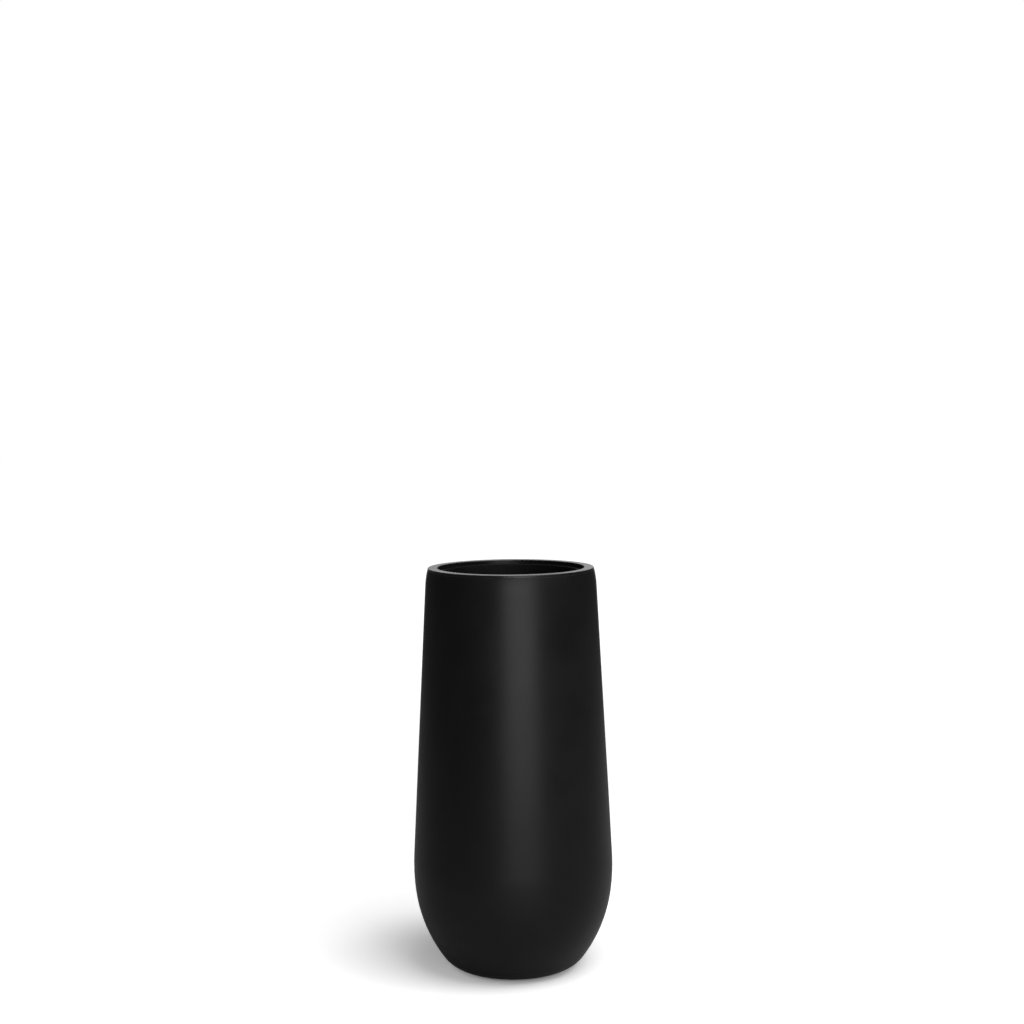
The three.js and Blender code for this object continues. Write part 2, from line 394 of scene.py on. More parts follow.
@dataclass
class Section:
    """A line in radius and height, with how much of an edge each point is, from 0 to 1."""

    points: Array
    edge: Array

    @classmethod
    def plain(cls, points: Array) -> Section:
        """A section of points on a smooth stretch."""
        return cls(np.asarray(points, float), np.zeros(len(points)))

    def then(self, *others: Section) -> Section:
        """This section followed by others."""
        parts = (self, *others)
        points = np.concatenate([part.points for part in parts])
        return Section(points, np.concatenate([part.edge for part in parts]))

    def reversed(self) -> Section:
        """The section walked the other way."""
        return Section(self.points[::-1], self.edge[::-1])

    def looped(self) -> Section:
        """The section without its last point, for a line that ends where it starts."""
        return Section(self.points[:-1], self.edge[:-1])

    def filled(self, spacing: float) -> Section:
        """Adds points on long stretches, evenly along each.

        Args:
            spacing: How far apart neighbouring points may be.

        Returns:
            The section with its further points.
        """
        lengths = np.linalg.norm(np.diff(self.points, axis=0), axis=1)
        counts = np.maximum(1, np.ceil(lengths / spacing).astype(int))
        owner = np.repeat(np.arange(len(counts)), counts)
        share = (np.arange(len(owner)) - np.repeat(np.cumsum(counts) - counts, counts)) / counts[owner]
        points = self.points[owner] + share[:, None] * (self.points[owner + 1] - self.points[owner])
        edge = self.edge[owner] + share * (self.edge[owner + 1] - self.edge[owner])
        return Section(np.vstack([points, self.points[-1:]]), np.append(edge, self.edge[-1]))


def rounded(corners: Sequence[Corner], steps: int = 6, hold: float = 0.35, spacing: float = 0.0) -> Section:
    """Rounds the inner corners of an open line.

    At each corner the line turns by some angle. An arc of the corner's radius touches both sides at a
    tangent length of radius times the tangent of half the turn. A further point is held on each side, a share
    of the tangent length away, so that flat faces shade flat. An arc is most of an edge in its middle.

    Args:
        corners: The line's corners. The first and the last stay where they are.
        steps: Facets of each arc.
        hold: Share of the tangent length between an arc and its held points.
        spacing: Longest stretch left without a point, or 0 for no limit.

    Returns:
        The section.
    """
    fade = 0.12
    crest = np.sin(np.linspace(fade, math.pi - fade, steps + 1))
    places = np.array([(corner.radius, corner.height) for corner in corners])
    line = Section.plain(places[:1])
    for before, here, after, corner in zip(places[:-2], places[1:-1], places[2:], corners[1:-1]):
        into = (here - before) / np.linalg.norm(here - before)
        out = (after - here) / np.linalg.norm(after - here)
        turn = math.atan2(into[0] * out[1] - into[1] * out[0], into @ out)
        tangent = corner.round * abs(math.tan(turn / 2))
        if tangent == 0.0:
            line = line.then(Section.plain(here[None]))
            continue
        start = here - into * tangent
        centre = start + math.copysign(corner.round, turn) * np.array([-into[1], into[0]])
        angle = np.linspace(0.0, turn, steps + 1)[:, None]
        spoke = start - centre
        across = np.array([-spoke[1], spoke[0]])
        arc = centre + np.cos(angle) * spoke + np.sin(angle) * across
        held = np.array([start - into * tangent * hold, arc[-1] + out * tangent * hold])
        line = line.then(Section.plain(held[:1]), Section(arc, crest), Section.plain(held[1:]))
    line = line.then(Section.plain(places[-1:]))
    return line.filled(spacing) if spacing else line


@dataclass
class Surface:
    """A mesh in whole arrays: points, faces, the material of each quad and the edge value of each point."""

    vertices: Array
    quads: Array
    triangles: Array
    zones: Array | int = 0
    edge: Array | float = 0.0


def ring_quads(rings: int, facets: int, closed: bool = False) -> Array:
    """The quads between neighbouring rings of points.

    Args:
        rings: How many rings there are.
        facets: Points of each ring.
        closed: Whether the last ring is joined to the first.

    Returns:
        Four point numbers for each quad, ring by ring.
    """
    ring = np.arange(rings if closed else rings - 1)[:, None]
    here = np.arange(facets)[None]
    beside, above = (here + 1) % facets, (ring + 1) % rings
    corners = (ring * facets + here, ring * facets + beside, above * facets + beside, above * facets + here)
    return np.stack(corners, axis=-1).reshape(-1, 4)


def capped(rings: Array, ends: Array, edge: Array | float = 0.0) -> Surface:
    """A tube of rings, closed by a fan of triangles at each end.

    Args:
        rings: Points by ring, place on the ring and coordinate.
        ends: The middle point of each fan.
        edge: How much of an edge each point is.

    Returns:
        The closed surface.
    """
    count, facets = rings.shape[:2]
    here = np.arange(facets)
    beside = (here + 1) % facets
    last, middle = (count - 1) * facets, np.full(facets, count * facets)
    fans = np.vstack([
        np.stack([middle, beside, here], axis=-1),
        np.stack([last + here, last + beside, middle + 1], axis=-1),
    ])
    return Surface(np.vstack([rings.reshape(-1, 3), ends]), ring_quads(count, facets), fans, edge=edge)


@dataclass
class Turned:
    """A section carried round the Z axis.

    A point of the section at radius r and height h goes to (r cos a, r sin a, h) for each angle a. The
    section runs with the solid on its left. It either closes on itself or starts and ends on the axis.
    """

    section: Section
    facets: int
    closed: bool = False
    relief: Relief | None = None
    zones: Array | int = 0
    centre: tuple[float, float] = (0.0, 0.0)

    def _rings(self) -> Array:
        """Works out the points, moved by the relief along the section's normal.

        Returns:
            The points by ring, angle and coordinate.
        """
        line = self.section.points
        ahead = np.roll(line, -1, 0) - np.roll(line, 1, 0)
        if not self.closed:
            ahead[0], ahead[-1] = line[1] - line[0], line[-1] - line[-2]
        ahead /= np.linalg.norm(ahead, axis=1)[:, None]
        angle = np.arange(self.facets) * (TURN / self.facets)
        radius = np.repeat(line[:, :1], self.facets, 1)
        height = np.repeat(line[:, 1:], self.facets, 1)
        if self.relief is not None:
            lift = self.relief(angle[None], radius, height)
            radius, height = radius + lift * ahead[:, 1:], height - lift * ahead[:, :1]
        rings = np.stack([radius * np.cos(angle), radius * np.sin(angle), height], axis=-1)
        rings[..., :2] += self.centre
        return rings

    def surface(self) -> Surface:
        """Puts faces between the points. A ring that lies on the axis becomes the middle of a fan.

        Returns:
            The closed surface.
        """
        rings, edge = self._rings(), self.section.edge
        if not self.closed:
            inner = np.append(np.repeat(edge[1:-1], self.facets), [0.0, 0.0])
            return capped(rings[1:-1], rings[[0, -1], 0], inner)
        zones = np.repeat(np.broadcast_to(self.zones, len(rings)), self.facets)
        quads, triangles = ring_quads(len(rings), self.facets, True), np.zeros((0, 3), int)
        return Surface(rings.reshape(-1, 3), quads, triangles, zones, np.repeat(edge, self.facets))

    def build(self, name: str, *materials: Material) -> Object:
        """Makes the object, with a material for each zone."""
        return mesh_object(name, self.surface(), *materials)


def mesh_object(name: str, surface: Surface, *materials: Material) -> Object:
    """Puts a surface into a new smooth-shaded mesh object.

    Args:
        name: The object's name.
        surface: Its points and faces.
        materials: Its materials, by zone.

    Returns:
        The object, linked to the scene at the origin.
    """
    corners = np.concatenate([surface.quads.ravel(), surface.triangles.ravel()])
    sizes = np.repeat([4, 3], [len(surface.quads), len(surface.triangles)])
    zones = np.zeros(len(sizes), np.int32)
    zones[:len(surface.quads)] = surface.zones
    edge = np.zeros(len(surface.vertices), np.float32)
    edge[:] = surface.edge
    mesh = bpy.data.meshes.new(name)
    mesh.vertices.add(len(surface.vertices))
    mesh.vertices.foreach_set("co", surface.vertices.astype(np.float32).ravel())
    mesh.loops.add(len(corners))
    mesh.loops.foreach_set("vertex_index", corners.astype(np.int32))
    mesh.polygons.add(len(sizes))
    mesh.polygons.foreach_set("loop_start", (np.cumsum(sizes) - sizes).astype(np.int32))
    mesh.polygons.foreach_set("use_smooth", np.ones(len(sizes), bool))
    mesh.polygons.foreach_set("material_index", zones)
    mesh.attributes.new("edge", "FLOAT", "POINT").data.foreach_set("value", edge)
    mesh.update(calc_edges=True)
    mesh.validate()
    for material in materials:
        mesh.materials.append(material)
    made = bpy.data.objects.new(name, mesh)
    bpy.context.scene.collection.objects.link(made)
    return made


def combine(piece: Object, other: Object, operation: Operation) -> None:
    """Applies a boolean of another closed mesh to a piece, and removes the other object.

    Args:
        piece: The piece that changes.
        other: The mesh that joins or cuts it.
        operation: Whether it joins or cuts.
    """
    modifier = piece.modifiers.new("combine", "BOOLEAN")
    modifier.object, modifier.operation, modifier.solver = other, operation.value, "EXACT"
    graph = bpy.context.evaluated_depsgraph_get()
    result = bpy.data.meshes.new_from_object(piece.evaluated_get(graph))
    piece.modifiers.clear()
    old = piece.data
    piece.data = result
    bpy.data.meshes.remove(old)
    bpy.data.objects.remove(other)
    result.name = piece.name
    result.shade_smooth()
    result.set_sharp_from_angle(angle=math.radians(SHARP_ANGLE))


def dress(piece: Object, body: Body, node: str) -> None:
    """Puts a finished piece on its body in place of its CAD node, and reports it.

    Args:
        piece: The finished piece.
        body: The body it rides on.
        node: The CAD node it stands for.
    """
    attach(piece, body.value)
    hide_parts(node)
    size = " x ".join(f"{side:.1f}" for side in np.ptp(np.array(piece.bound_box), axis=0) / MM)
    log.info("%s: %d faces, %s mm, on %s", piece.name, len(piece.data.polygons), size, body.value)


def ripples(
    seed: int, count: int, around: tuple[int, int], along: tuple[float, float], depth: float
) -> Relief:
    """A gentle, closed pattern of waves.

    The lift is the sum of waves sin(n a + k h + p), divided by the square root of half their count, so that
    the depth is about its standard deviation. Each n is a whole number, so the waves meet round the axis.

    Args:
        seed: Start of the random draws.
        count: Number of waves.
        around: Lowest and highest n.
        along: Lowest and highest k, in waves per metre of height.
        depth: The depth, in metres.

    Returns:
        The lift as a function of angle, radius and height.
    """
    draw = np.random.default_rng(seed)
    n = draw.integers(around[0], around[1] + 1, count)
    k = draw.uniform(along[0], along[1], count) * TURN * draw.choice([-1, 1], count)
    p = draw.uniform(0, TURN, count)

    def lift(angle: Array, radius: Array, height: Array) -> Array:
        """The summed waves at each point of the grid."""
        waves = sum(np.sin(n[i] * angle + k[i] * height + p[i]) for i in range(count))
        return waves * depth / math.sqrt(count / 2)

    return lift


def sine(lean: float | Array) -> float | Array:
    """The sine of an angle in degrees."""
    return np.sin(np.radians(lean))


def cosine(lean: float | Array) -> float | Array:
    """The cosine of an angle in degrees."""
    return np.cos(np.radians(lean))


# ---- The planter's pieces ----


@dataclass(frozen=True)
class Bend:
    """A stretch of the wall that turns from one lean to another on an arc."""

    radius: float
    start: float
    end: float
    steps: int


@dataclass
class WallCurve:
    """The outside of the wall, from the rim down to the flat of the base."""

    mouth_radius: float = 164.4 * MM
    top: float = 800.0 * MM
    base: float = 3.0 * MM
    shoulder: Bend = Bend(200.0 * MM, -13.7, -3.0, 14)
    belly: Bend = Bend(400.0 * MM, -3.0, 7.3, 14)
    hip: Bend = Bend(282.0 * MM, 7.3, 36.2, 26)
    heel: Bend = Bend(55.0 * MM, 36.2, 90.0, 22)
    straight_steps: int = 60

    def line(self, depth: float = 0.0, coarser: int = 1) -> Array:
        """The curve, moved inwards by a depth.

        On an arc of radius R that starts at lean s, the point at lean a lies R (cos a - cos s) further out
        and R (sin a - sin s) further down. The straight stretch takes up the height that the arcs leave.

        Args:
            depth: How far inside the wall's outside the line runs, square to the wall.
            coarser: Factor by which there are fewer points.

        Returns:
            Rows of radius and height, falling from the rim to the base.
        """
        bends = (self.shoulder, self.belly, self.hip, self.heel)
        rises = [bend.radius * (sine(bend.end) - sine(bend.start)) for bend in bends]
        straight = (self.top - self.base - sum(rises)) / cosine(self.shoulder.end)
        radius, height = self.mouth_radius, self.top
        parts: list[Array] = []
        for bend in bends:
            lean = np.linspace(bend.start, bend.end, bend.steps // coarser + 1)
            out = radius + bend.radius * (cosine(lean) - cosine(bend.start))
            down = height - bend.radius * (sine(lean) - sine(bend.start))
            if bend is self.shoulder:
                run = np.linspace(0, straight, self.straight_steps // coarser + 1)[1:]
                lean = np.append(lean, np.full(len(run), bend.end))
                out = np.append(out, out[-1] - run * sine(bend.end))
                down = np.append(down, down[-1] - run * cosine(bend.end))
            parts.append(np.stack([out - depth * cosine(lean), down + depth * sine(lean)], axis=-1))
            radius, height = out[-1], down[-1]
        whole = np.concatenate(parts)
        return whole[np.append(True, np.linalg.norm(np.diff(whole, axis=0), axis=1) > SAME_PLACE)]

    def below(self, height: float, depth: float = 0.0, coarser: int = 1) -> Array:
        """The curve from a height downwards, cut square there.

        Args:
            height: Where the curve is cut.
            depth: As for line.
            coarser: As for line.

        Returns:
            Rows of radius and height, falling from the cut to the base.
        """
        line = self.line(depth, coarser)
        radius = np.interp(height, line[::-1, 1], line[::-1, 0])
        return np.vstack([[radius, height], line[line[:, 1] < height - SAME_PLACE]])

    def radius_at(self, height: float, depth: float = 0.0) -> float:
        """The curve's radius at a height."""
        return float(self.below(height, depth)[0, 0])


@dataclass
class Shell:
    """The moulded shell: gelcoat outside, bare laminate inside, and a base turned in round the drain."""

    curve: WallCurve
    wall: float = 4.5 * MM
    edge_round: float = 0.5 * MM
    base_opening: float = 38.0 * MM
    facets: int = 300
    wave_depth: float = 0.05 * MM
    mat_depth: float = 0.16 * MM
    plain_mouth: float = 30.0 * MM

    def build(self, outside: Material, inside: Material) -> None:
        """Makes the shell from the frame's own heights.

        Args:
            outside: The gelcoat.
            inside: The bare laminate.
        """
        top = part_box("body_shell")[1].z
        outer = self.curve.below(top)
        inner = self.curve.below(top, self.wall, coarser=2)
        base = rounded([
            Corner(*outer[-1]),
            Corner(self.base_opening, outer[-1, 1], self.edge_round),
            Corner(self.base_opening, inner[-1, 1], self.edge_round),
            Corner(*inner[-1]),
        ], spacing=12 * MM)
        mouth = rounded([
            Corner(*inner[1]),
            Corner(*inner[0], self.edge_round),
            Corner(*outer[0], self.edge_round),
            Corner(*outer[1]),
        ], steps=4)
        down = Section.plain(outer[2:-1])
        up = Section.plain(inner[2:-1]).reversed()
        loop = down.then(base, up, mouth).reversed()
        # The loop starts with the mouth. The laminate runs from its middle to the middle of the base.
        half_mouth, half_base = len(mouth.points) // 2, len(base.points) // 2
        zones = np.zeros(len(loop.points), int)
        zones[len(mouth.points) - half_mouth:len(mouth.points) + len(up.points) + half_base] = 1
        piece = Turned(loop, self.facets, True, self._relief(), zones).build("shell", outside, inside)
        dress(piece, Body.PLANTER, "body_shell")

    def _relief(self) -> Relief:
        """Slow waves all over, and the lumps of the glass mat on the inner side of the wall.

        Returns:
            The relief, which leaves the mouth and the base plain.
        """
        waves = ripples(11, 14, around=(1, 9), along=(0.5, 6.0), depth=self.wave_depth)
        lumps = ripples(12, 40, around=(20, 110), along=(15.0, 90.0), depth=self.mat_depth)
        curve, half = self.curve, self.wall / 2

        def lift(angle: Array, radius: Array, height: Array) -> Array:
            """Lumps where a point lies inside the wall's middle, waves elsewhere, none at mouth and base."""
            middle = curve.line(half)[::-1]
            within = radius[:, :1] < np.interp(height[:, :1], middle[:, 1], middle[:, 0]) - half / 2
            low, high = curve.base + 3 * self.wall, curve.top - self.plain_mouth
            free = (height[:, :1] < high) & (height[:, :1] > low)
            return np.where(within, lumps(angle, radius, height) * free, waves(angle, radius, height) * free)

        return lift


@dataclass
class Rim:
    """The returned rim: a flat top, a short inner face, a ledge for the insert and a skirt in the shell."""

    shell: Shell
    width: float = 19.0 * MM
    thickness: float = 5.0 * MM
    top_round: float = 1.3 * MM
    small_round: float = 0.5 * MM
    ledge_depth: float = 11.0 * MM
    ledge_width: float = 9.0 * MM
    skirt_thickness: float = 4.0 * MM
    seat_gap: float = 0.3 * MM
    wave_depth: float = 0.03 * MM
    facets: int = 320

    def opening(self) -> float:
        """The radius of the rim's inner face."""
        return self.shell.curve.mouth_radius - self.width

    def build(self, finish: Material) -> None:
        """Makes the rim from the frame's own heights.

        Args:
            finish: The rim's gelcoat.
        """
        low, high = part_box("rim_lip")
        top, skirt_foot, curve, small = high.z, low.z, self.shell.curve, self.small_round
        underside = top - self.thickness
        inner = self.opening()
        ledge = inner - self.ledge_width
        ledge_z = top - self.ledge_depth
        ledge_foot = ledge_z - self.thickness
        web = inner + self.thickness
        skirt = curve.radius_at(underside - self.seat_gap, self.shell.wall) - self.seat_gap
        line = rounded([
            Corner(web + 2 * small, underside),
            Corner(skirt - self.skirt_thickness, underside, small),
            Corner(skirt - self.skirt_thickness, skirt_foot, small),
            Corner(skirt, skirt_foot, small),
            Corner(skirt, underside, small),
            Corner(curve.radius_at(underside), underside, small),
            Corner(curve.mouth_radius, top, self.top_round),
            Corner(inner, top, self.top_round),
            Corner(inner, ledge_z, small),
            Corner(ledge, ledge_z, small),
            Corner(ledge, ledge_foot, small),
            Corner(web, ledge_foot, small),
            Corner(web, underside, small),
            Corner(web + 2 * small, underside),
        ], steps=8, spacing=3 * MM)
        waves = ripples(21, 10, around=(2, 12), along=(0.5, 8.0), depth=self.wave_depth)
        piece = Turned(line.looped(), self.facets, True, waves).build("rim", finish)
        dress(piece, Body.PLANTER, "rim_lip")


@dataclass
class Floor:
    """The floor of the shell: its bonded panel, the drain sleeve and the rubber bung."""

    hole_gap: float = 0.3 * MM
    sleeve_wall: float = 2.2 * MM
    sleeve_bore: float = 13.0 * MM
    bung_taper: float = 4.0
    panel_round: float = 1.2 * MM
    small_round: float = 0.5 * MM
    lump_depth: float = 0.12 * MM
    lump_start: float = 3.2 * MM
    lump_fade: float = 4.0 * MM
    seal_rings: int = 3
    seal_depth: float = 0.2 * MM
    head_thickness: float = 2.8 * MM
    grip_reach: float = 13.0 * MM
    grip_width: float = 6.0 * MM
    grip_round: float = 1.0 * MM
    grip_power: float = 6.0
    grip_facets: int = 64
    facets: int = 200

    def build_panel(self, finish: Material) -> None:
        """Makes the panel, with the lumps of its laminate on top.

        Args:
            finish: The bare laminate.
        """
        low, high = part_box("floor_panel")
        hole = self.sleeve_bore + self.sleeve_wall + self.hole_gap
        side = (low.z + high.z) / 2
        line = rounded([
            Corner(hole, side),
            Corner(hole, low.z, self.small_round),
            Corner(high.x, low.z, self.small_round),
            Corner(high.x, high.z, self.panel_round),
            Corner(hole, high.z, self.small_round),
            Corner(hole, side),
        ], spacing=2.5 * MM)
        lumps = ripples(31, 40, around=(3, 60), along=(1.0, 20.0), depth=self.lump_depth)

        def lift(angle: Array, radius: Array, height: Array) -> Array:
            """Lumps over the upper face alone, read along four times the radius, and gone at its rims."""
            away = (np.minimum(radius - hole, high.x - radius) - self.lump_start) / self.lump_fade
            upper = (height > side + self.small_round) * np.clip(away, 0, 1)
            return lumps(angle, radius, 4 * radius) * upper

        piece = Turned(line.looped(), self.facets, True, lift).build("floor_panel_laminate", finish)
        dress(piece, Body.PLANTER, "floor_panel")

    def build_sleeve(self, finish: Material) -> None:
        """Makes the flanged sleeve. Its bore narrows upwards with the bung's taper.

        Args:
            finish: The sleeve's plastic.
        """
        low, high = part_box("drain_sleeve")
        tube = self.sleeve_bore + self.sleeve_wall
        flange_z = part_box("floor_panel")[1].z + self.hole_gap
        narrow = self.sleeve_bore - (high.z - low.z) * math.tan(math.radians(self.bung_taper))
        middle = (self.sleeve_bore + narrow) / 2, (low.z + high.z) / 2
        line = rounded([
            Corner(*middle),
            Corner(self.sleeve_bore, low.z, self.small_round),
            Corner(tube, low.z, self.small_round),
            Corner(tube, flange_z, self.small_round),
            Corner(high.x, flange_z, self.small_round),
            Corner(high.x, high.z, 1.1 * MM),
            Corner(narrow, high.z, 1.0 * MM),
            Corner(*middle),
        ], spacing=1.5 * MM)
        piece = Turned(line.looped(), self.facets, True).build("drain_sleeve_moulding", finish)
        dress(piece, Body.PLANTER, "drain_sleeve")

    def build_bung(self, finish: Material) -> None:
        """Makes the bung: a ringed plug, a round head and the bar that it is pulled by.

        Args:
            finish: The rubber.
        """
        low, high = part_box("drain_bung")
        head_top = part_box("floor_panel")[0].z - self.hole_gap
        head_foot = head_top - self.head_thickness
        seat = self.sleeve_bore - self.hole_gap
        tip = seat - (high.z - head_top) * math.tan(math.radians(self.bung_taper))
        line = rounded([
            Corner(0.0, head_foot),
            Corner(high.x, head_foot, 1.3 * MM),
            Corner(high.x, head_top, 0.6 * MM),
            Corner(seat, head_top, 0.5 * MM),
            Corner(tip, high.z, 1.4 * MM),
            Corner(0.0, high.z),
        ], spacing=0.6 * MM)
        first, last = head_top + 1.0 * MM, high.z - 2.0 * MM

        def lift(angle: Array, radius: Array, height: Array) -> Array:
            """Seal rings on the plug: a raised cosine along its height, none on the head or the tip."""
            along = np.clip((height - first) / (last - first), 0, 1)
            on_plug = (radius > tip - 0.5 * MM) & (radius < seat + 0.1 * MM) & (height > head_top + 0.5 * MM)
            return self.seal_depth * 0.5 * (1 - np.cos(TURN * self.seal_rings * along)) * on_plug

        piece = Turned(line, self.facets, relief=lift).build("bung", finish)
        combine(piece, self._grip(low.z, head_foot + 1.0 * MM, finish), Operation.JOIN)
        dress(piece, Body.BUNG, "drain_bung")

    def _grip(self, foot: float, top: float, finish: Material) -> Object:
        """The pull bar: rings of a rounded box outline, drawn in towards its lower edge.

        In plan each ring is a superellipse: its half sides times the cosine and the sine of an angle, both
        raised to 2 over its power. The rings narrow on a quarter circle at the foot.

        Args:
            foot: Height of the bar's underside.
            top: Height of its upper end, inside the bung's head.
            finish: The rubber.

        Returns:
            The bar.
        """
        half, soft = self.grip_width / 2, self.grip_round
        quarter = np.linspace(0, 90, 7)
        inset = np.concatenate([[half - 0.01 * MM], soft * (1 - sine(quarter)), [0.0]])[:, None]
        height = np.concatenate([[foot], foot + soft * (1 - cosine(quarter)), [top]])[:, None]
        angle = np.arange(self.grip_facets) * (TURN / self.grip_facets)
        waves = np.stack([np.cos(angle), np.sin(angle)])
        along, across = np.sign(waves) * np.abs(waves) ** (2 / self.grip_power)
        x, y = (self.grip_reach - inset) * along, (half - inset) * across
        rings = np.stack([x, y, np.repeat(height, self.grip_facets, 1)], axis=-1)
        return mesh_object("grip", capped(rings, np.array([[0, 0, foot], [0, 0, top]])), finish)


@dataclass
class Insert:
    """The planting insert: a tapered pot hung by its flange, with drain holes and finger slots."""

    rim: Rim
    clearance: float = 1.0 * MM
    wall: float = 3.0 * MM
    flange_thickness: float = 3.0 * MM
    lean: float = 3.5
    corner_round: float = 10.0 * MM
    channel_depth: float = 0.8 * MM
    channel_margin: float = 3.0 * MM
    channel_bank: float = 2.0 * MM
    channel_round: float = 1.5 * MM
    hole_radius: float = 6.0 * MM
    hole_count: int = 8
    hole_circle_share: float = 0.68
    hole_chamfer: float = 0.7 * MM
    hole_facets: int = 48
    slot_length: float = 84.0 * MM
    slot_height: float = 24.0 * MM
    slot_drop: float = 20.0 * MM
    slot_cut_start: float = 0.6
    slot_cut_past: float = 5.0 * MM
    warp_depth: float = 0.06 * MM
    facets: int = 240

    def build(self, finish: Material) -> None:
        """Makes the insert from the frame's own heights.

        Args:
            finish: The insert's plastic.
        """
        low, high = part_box("planting_insert")
        floor, flange_top = low.z, high.z
        flange_z = flange_top - self.flange_thickness
        slope = math.tan(math.radians(self.lean))
        flange = self.rim.opening() - self.clearance
        neck = flange - self.rim.ledge_width
        foot = neck - slope * (flange_z - floor)
        inner_floor = floor + self.wall
        channel = inner_floor - self.channel_depth
        inner_foot = foot - self.wall + slope * self.wall
        circle = self.hole_circle_share * (foot + slope * self.corner_round - self.corner_round)
        groove = self.hole_radius + self.channel_margin
        line = rounded([
            Corner(0.0, floor),
            Corner(foot, floor, self.corner_round),
            Corner(neck, flange_z, 1.2 * MM),
            Corner(flange, flange_z, 0.8 * MM),
            Corner(flange, flange_top, 1.1 * MM),
            Corner(neck - self.wall, flange_top, 1.3 * MM),
            Corner(inner_foot, inner_floor, self.corner_round - self.wall),
            Corner(circle + groove + self.channel_bank, inner_floor, self.channel_round),
            Corner(circle + groove, channel, self.channel_round),
            Corner(circle - groove, channel, self.channel_round),
            Corner(circle - groove - self.channel_bank, inner_floor, self.channel_round),
            Corner(0.0, inner_floor),
        ], spacing=6 * MM)
        warp = ripples(41, 8, around=(2, 5), along=(0.5, 3.0), depth=self.warp_depth)
        piece = Turned(line, self.facets, relief=warp).build("insert", finish)
        combine(piece, self._drain_cutters(floor, channel, circle), Operation.CUT)
        for side in (1, -1):
            combine(piece, self._slot_cutter(side, flange_z, flange), Operation.CUT)
        dress(piece, Body.INSERT, "planting_insert")

    def _drain_cutters(self, low: float, high: float, circle: float) -> Object:
        """Spools that cut the drain holes and chamfer both their rims.

        Args:
            low: Underside of the insert's floor.
            high: Upper side of the floor, at the holes.
            circle: Radius of the circle that the holes lie on.

        Returns:
            All the spools in one object.
        """
        flare = self.hole_chamfer
        wide = self.hole_radius + 2 * flare
        profile = Section.plain(np.array([
            (0.0, low - flare),
            (wide, low - flare),
            (self.hole_radius, low + flare),
            (self.hole_radius, high - flare),
            (wide, high + flare),
            (0.0, high + flare),
        ]))
        spools: list[Surface] = []
        for index in range(self.hole_count):
            angle = TURN * (index + 0.5) / self.hole_count
            centre = (circle * math.cos(angle), circle * math.sin(angle))
            spools.append(Turned(profile, self.hole_facets, centre=centre).surface())
        starts = np.arange(self.hole_count) * len(spools[0].vertices)
        return mesh_object("spools", Surface(
            np.vstack([spool.vertices for spool in spools]),
            np.vstack([spool.quads + start for spool, start in zip(spools, starts)]),
            np.vstack([spool.triangles + start for spool, start in zip(spools, starts)]),
        ))

    def _slot_cutter(self, side: int, flange_z: float, flange: float) -> Object:
        """A block with half-round ends that cuts a finger slot through one side of the wall.

        Args:
            side: 1 for the slot towards +X and -1 for the other.
            flange_z: Height of the flange's underside.
            flange: Radius of the flange.

        Returns:
            The block, which reaches from inside the wall to outside the flange.
        """
        end = self.slot_height / 2
        reach = self.slot_length / 2 - end
        angle = np.linspace(-90, 90, 25)
        half_outline = np.stack([reach + end * cosine(angle), end * sine(angle)], axis=-1)
        outline = np.vstack([half_outline, -half_outline])
        middle = flange_z - self.slot_drop - end
        near, far = side * flange * self.slot_cut_start, side * (flange + self.slot_cut_past)
        ring = np.column_stack([np.zeros(len(outline)), outline[:, 0], outline[:, 1] + middle])
        ends = np.array([[near, 0, middle], [far, 0, middle]])
        block = capped(ring + np.array([[[near, 0, 0]], [[far, 0, 0]]]), ends)
        if side > 0:
            block.quads, block.triangles = block.quads[:, ::-1], block.triangles[:, ::-1]
        return mesh_object("slot", block)


@dataclass
class Feet:
    """The rubber pads under the base."""

    count: int = 4
    low_round: float = 0.6 * MM
    high_round: float = 0.3 * MM
    facets: int = 72

    def build(self, finish: Material) -> None:
        """Makes each pad of the given rubber where its CAD node stands."""
        for index in range(1, self.count + 1):
            node = f"foot_pad_{index}"
            low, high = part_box(node)
            radius = (high.x - low.x) / 2
            line = rounded([
                Corner(0.0, low.z),
                Corner(radius, low.z, self.low_round),
                Corner(radius, high.z, self.high_round),
                Corner(0.0, high.z),
            ], spacing=2 * MM)
            centre = ((low.x + high.x) / 2, (low.y + high.y) / 2)
            piece = Turned(line, self.facets, centre=centre).build(f"pad_{index}", finish)
            dress(piece, Body.PLANTER, node)


# ---- Studio ----


@dataclass(frozen=True)
class Softbox:
    """A rectangular lamp aimed at a point, placed by its bearing from that point.

    The bearing is 0 towards the camera's side (-Y) and grows towards +X.
    """

    name: str
    bearing: float
    elevation: float
    distance: float
    width: float
    tall: float
    watts: float
    aim: tuple[float, float, float] = (0.0, 0.0, 0.4)

    def hang(self) -> None:
        """Adds the lamp to the scene."""
        lamp = bpy.data.lights.new(self.name, "AREA")
        lamp.shape, lamp.size, lamp.size_y, lamp.energy = "RECTANGLE", self.width, self.tall, self.watts
        holder = bpy.data.objects.new(self.name, lamp)
        out = Vector((
            cosine(self.elevation) * sine(self.bearing),
            -cosine(self.elevation) * cosine(self.bearing),
            sine(self.elevation),
        ))
        holder.location = Vector(self.aim) + self.distance * out
        holder.rotation_euler = out.to_track_quat("Z", "Y").to_euler()
        bpy.context.scene.collection.objects.link(holder)


@dataclass(frozen=True)
class Glow:
    """A step in the floor's own light: none nearer than one distance, and its full level past another. Held
    back near the planter, it leaves painted shade there.
    """

    near: float
    far: float
    level: float


